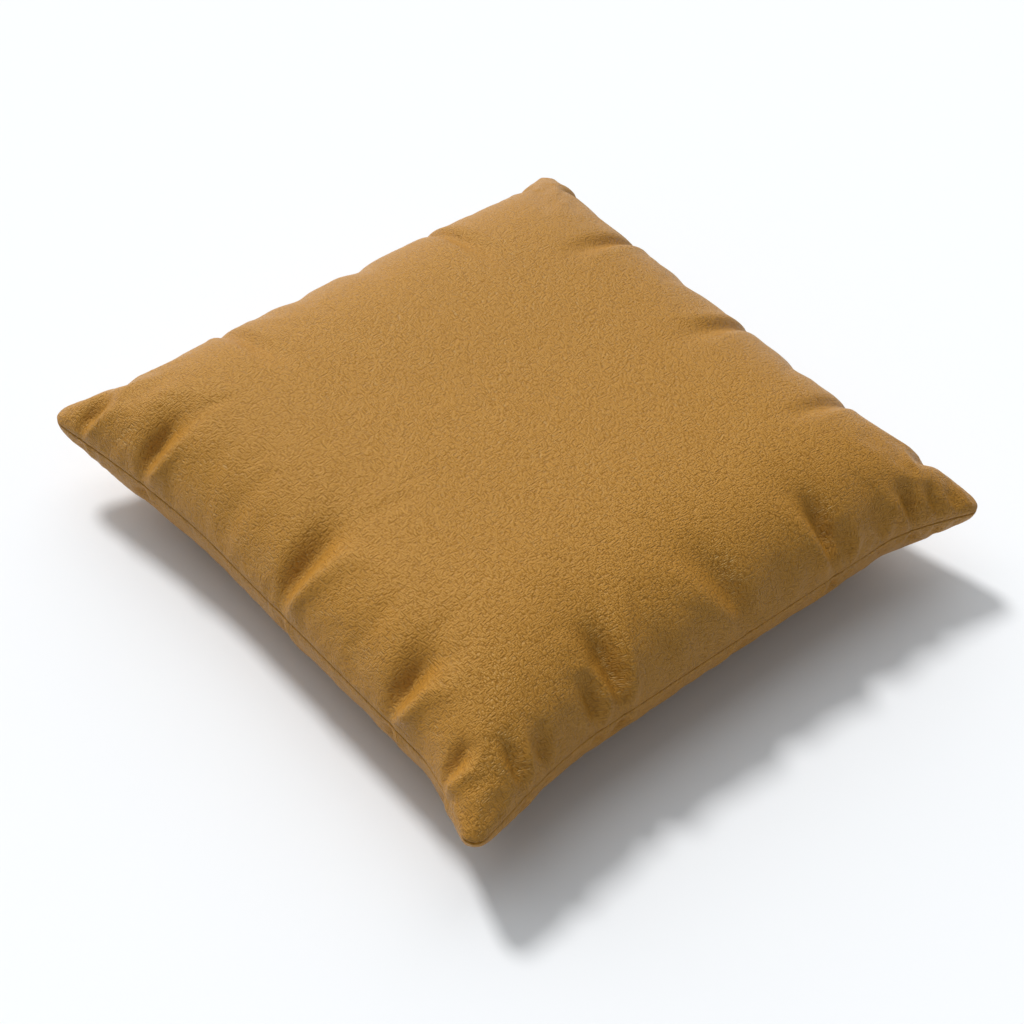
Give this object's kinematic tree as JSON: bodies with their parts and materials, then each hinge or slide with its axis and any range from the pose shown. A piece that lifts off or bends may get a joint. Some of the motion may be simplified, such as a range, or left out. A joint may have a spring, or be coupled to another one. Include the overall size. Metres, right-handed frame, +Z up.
{
  "type": "throw pillow",
  "caption": "Square throw pillow: zip-off soft pile cover over a fibre-filled insert, with knife-edge seams and drawn-out corners.",
  "frame": {"origin": "centre of the underside, where the pillow rests", "axes": "+Z up through the crown, X and Y along the sides, the zip in the +Y side"},
  "size_m": [0.44, 0.44, 0.118],
  "materials": {
    "cover_cloth": "brushed short pile, soft sheen",
    "cover_thread": "spun polyester",
    "zip_tape": "woven tape",
    "zip_coil": "moulded nylon coil",
    "zip_metal": "satin enamel over die-cast zinc",
    "label_ribbon": "satin ribbon, blank",
    "insert_cloth": "plain weave",
    "insert_thread": "spun polyester",
    "filling": "loose hollow fibre"
  },
  "bodies": {
    "cover": {"top_panel": "cover_cloth", "bottom_panel": "cover_cloth", "seam_thread_front": "cover_thread", "seam_thread_right": "cover_thread", "seam_thread_left": "cover_thread", "seam_thread_rear": "cover_thread", "overlock_sides": "cover_thread", "overlock_zip_upper": "cover_thread", "overlock_zip_lower": "cover_thread", "zip_tape_upper": "zip_tape", "zip_tape_lower": "zip_tape", "zip_stitching_upper": "cover_thread", "zip_stitching_lower": "cover_thread", "zip_coil_upper": "zip_coil", "zip_coil_lower": "zip_coil", "zip_top_stops": "zip_metal", "zip_bottom_stop": "zip_metal", "care_label": "label_ribbon", "insert_top_panel": "insert_cloth", "insert_bottom_panel": "insert_cloth", "insert_seam_thread": "insert_thread", "insert_label": "label_ribbon", "fibre_fill": "filling"},
    "zip_slider": {"zip_slider": "zip_metal"},
    "zip_pull": {"zip_pull": "zip_metal"}
  },
  "joints": [
    {"name": "zip_slide", "type": "slide", "parent": "cover", "child": "zip_slider", "axis": [1, 0, 0], "range_m": [0, 0.279]},
    {"name": "pull_hinge", "type": "hinge", "parent": "zip_slider", "child": "zip_pull", "pos_m": [-0.1402, 0.2047, 0.058], "axis": [0, 0, 1], "range_deg": [0, 175]}
  ]
}
